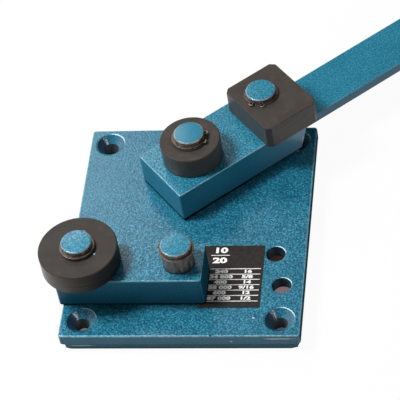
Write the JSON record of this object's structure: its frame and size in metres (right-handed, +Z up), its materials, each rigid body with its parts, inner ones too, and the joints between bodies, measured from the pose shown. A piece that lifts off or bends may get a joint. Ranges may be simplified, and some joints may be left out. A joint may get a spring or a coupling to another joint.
{
  "type": "rebar bender",
  "caption": "Bench-mounted hand bender for steel bar: a plate with a long swinging lever, rollers on pins, an off-centre square bending block and a movable abutment.",
  "frame": {"origin": "the middle of the plate's underside, on the bench", "axes": "+X to the right along the plate's front edge, +Y to its back edge, +Z up along the pins"},
  "size_m": [1.0625, 1.0022, 0.0991],
  "materials": {
    "paint": "hammered blue enamel",
    "weld_paint": "enamel over a weld",
    "oxide_steel": "black oxide, turned",
    "pin_steel": "turned and greased, its tip painted",
    "spring_steel": "phosphated",
    "bronze": "turned",
    "label": "black with white print"
  },
  "bodies": {
    "base": {"base_plate": "paint", "label_plate": "label", "pivot_pin": "pin_steel", "pivot_circlip": "spring_steel", "centre_washer": "oxide_steel"},
    "lever": {"lever_block": "paint", "lever_bush": "bronze", "thrust_washer": "bronze", "handle_bar": "paint", "handle_weld": "weld_paint", "bending_pin": "pin_steel", "bending_circlip": "spring_steel"},
    "centre_roller": {"centre_roller": "oxide_steel"},
    "bending_block": {"bending_block": "oxide_steel"},
    "abutment": {"abutment_block": "paint", "post_pin": "pin_steel", "post_circlip": "spring_steel", "roller_pin": "pin_steel", "roller_circlip": "spring_steel", "roller_washer": "oxide_steel"},
    "abutment_roller": {"abutment_roller": "oxide_steel"}
  },
  "joints": [
    {"name": "lever_swing", "type": "hinge", "parent": "base", "child": "lever", "pos_m": [0, 0.068, 0.043], "axis": [0, 0, 1], "range_deg": [-95, 160]},
    {"name": "centre_roller_spin", "type": "hinge", "parent": "base", "child": "centre_roller", "pos_m": [0, 0.068, 0.0763], "axis": [0, 0, 1], "continuous": true},
    {"name": "bending_block_turn", "type": "hinge", "parent": "lever", "child": "bending_block", "pos_m": [0.07148, 0.12905, 0.0775], "axis": [0, 0, 1], "continuous": true},
    {"name": "abutment_lift", "type": "slide", "parent": "base", "child": "abutment", "axis": [0, 0, 1], "range_m": [0, 0.022]},
    {"name": "abutment_roller_spin", "type": "hinge", "parent": "abutment", "child": "abutment_roller", "pos_m": [-0.102, -0.079, 0.0741], "axis": [0, 0, 1], "continuous": true}
  ]
}
